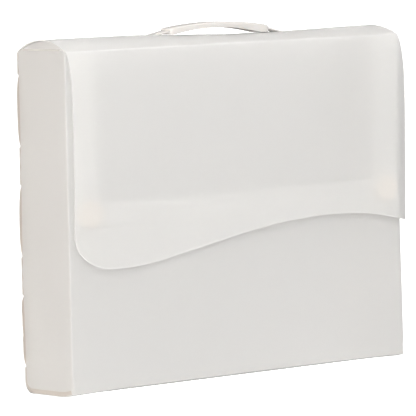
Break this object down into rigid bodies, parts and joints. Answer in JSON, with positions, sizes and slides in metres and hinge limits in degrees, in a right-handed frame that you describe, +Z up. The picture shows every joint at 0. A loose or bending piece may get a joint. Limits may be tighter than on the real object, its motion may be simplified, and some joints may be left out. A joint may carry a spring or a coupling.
{
  "type": "document portfolio",
  "caption": "Upright document portfolio of frosted translucent plastic sheet, with an arched lid, a wavy-edged front flap closed by hook and loop coins, and a low strap handle.",
  "frame": {"origin": "on the floor, under the middle of the body", "axes": "+X along the front to the viewer's right, +Y from front to back, +Z up"},
  "size_m": [0.335, 0.0641, 0.2673],
  "materials": {
    "frosted_sheet": "translucent frosted polypropylene sheet, satin, fine grain",
    "handle_plastic": "translucent moulded polypropylene, satin",
    "loop_pile": "brushed loop pile",
    "hook_pile": "woven base with fine hooks"
  },
  "bodies": {
    "case": {"front_panel": "frosted_sheet", "bottom_panel": "frosted_sheet", "back_panel": "frosted_sheet", "left_gusset": "frosted_sheet", "right_gusset": "frosted_sheet", "left_back_flange": "frosted_sheet", "right_back_flange": "frosted_sheet", "left_tuck_flap": "frosted_sheet", "right_tuck_flap": "frosted_sheet", "left_loop_coin": "loop_pile", "right_loop_coin": "loop_pile", "lid_crease": "frosted_sheet", "left_dust_crease": "frosted_sheet", "right_dust_crease": "frosted_sheet"},
    "lid": {"lid_top": "frosted_sheet", "flap_crease": "frosted_sheet"},
    "flap": {"front_flap": "frosted_sheet", "left_hook_coin": "hook_pile", "right_hook_coin": "hook_pile"},
    "handle": {"handle_grip": "handle_plastic", "left_handle_neck": "handle_plastic", "right_handle_neck": "handle_plastic"},
    "left_plate": {"left_handle_plate": "handle_plastic"},
    "right_plate": {"right_handle_plate": "handle_plastic"},
    "left_dust": {"left_dust_flap": "frosted_sheet"},
    "right_dust": {"right_dust_flap": "frosted_sheet"}
  },
  "joints": [
    {"name": "lid_hinge", "type": "hinge", "parent": "case", "child": "lid", "pos_m": [0, 0.0275, 0.25202], "axis": [-1, 0, 0], "range_deg": [0, 180], "deforming": ["lid_crease"]},
    {"name": "flap_hinge", "type": "hinge", "parent": "lid", "child": "flap", "pos_m": [0, -0.02776, 0.25186], "axis": [-1, 0, 0], "range_deg": [0, 150], "deforming": ["flap_crease"]},
    {"name": "handle_lift", "type": "slide", "parent": "lid", "child": "handle", "axis": [0, 0, 1], "range_m": [0, 0.014], "deforming": ["left_handle_neck", "right_handle_neck"]},
    {"name": "left_plate_slide", "type": "slide", "parent": "lid", "child": "left_plate", "axis": [1, 0, 0], "range_m": [0, 0.006]},
    {"name": "right_plate_slide", "type": "slide", "parent": "lid", "child": "right_plate", "axis": [-1, 0, 0], "range_m": [0, 0.006]},
    {"name": "left_dust_hinge", "type": "hinge", "parent": "case", "child": "left_dust", "pos_m": [-0.1675, 0, 0.2536], "axis": [0, -1, 0], "range_deg": [0, 90], "deforming": ["left_dust_crease"]},
    {"name": "right_dust_hinge", "type": "hinge", "parent": "case", "child": "right_dust", "pos_m": [0.1675, 0, 0.2536], "axis": [0, 1, 0], "range_deg": [0, 90], "deforming": ["right_dust_crease"]}
  ],
  "couplings": [
    {"joint": "left_dust_hinge", "follows": "lid_hinge", "ratio": 0.5},
    {"joint": "right_dust_hinge", "follows": "lid_hinge", "ratio": 0.5},
    {"joint": "left_plate_slide", "follows": "handle_lift", "ratio": 0.42857},
    {"joint": "right_plate_slide", "follows": "handle_lift", "ratio": 0.42857}
  ]
}
